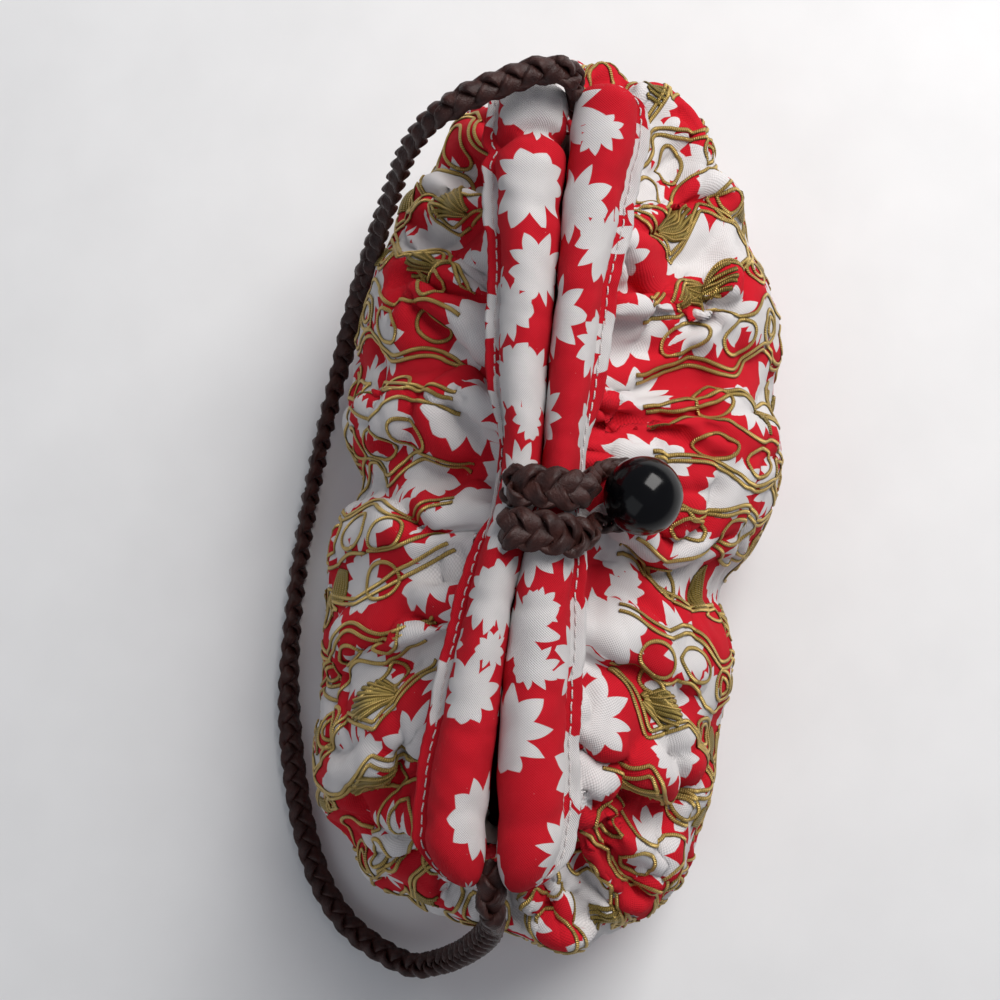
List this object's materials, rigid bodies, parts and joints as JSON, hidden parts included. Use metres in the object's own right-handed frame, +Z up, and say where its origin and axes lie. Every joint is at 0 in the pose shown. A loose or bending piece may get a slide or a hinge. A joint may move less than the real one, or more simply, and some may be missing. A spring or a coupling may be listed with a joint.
{
  "type": "frame clutch",
  "caption": "Soft gathered cloth clutch with two padded casings along a narrow mouth, a braided closing loop over a ball button, and a braided leather carrying strap",
  "frame": {"origin": "middle of the pouch's box on the floor, at the base it rests on", "axes": "+X along the mouth towards the strap's flat end, -Y towards the ball button, +Z up"},
  "size_m": [0.3088, 0.168, 0.1452],
  "materials": {
    "printed_cloth": "matt woven cotton, red with an off-white leaf print and gold stitched cord",
    "braided_leather": "satin",
    "black_gloss": "high gloss"
  },
  "bodies": {
    "root": {"pouch": "printed_cloth", "casing_back": "printed_cloth", "casing_front": "printed_cloth", "ball_button": "black_gloss", "button_shank": "braided_leather", "closing_loop": "braided_leather", "strap_tab_right": "braided_leather", "strap_tab_left": "braided_leather", "strap": "braided_leather"}
  },
  "joints": []
}
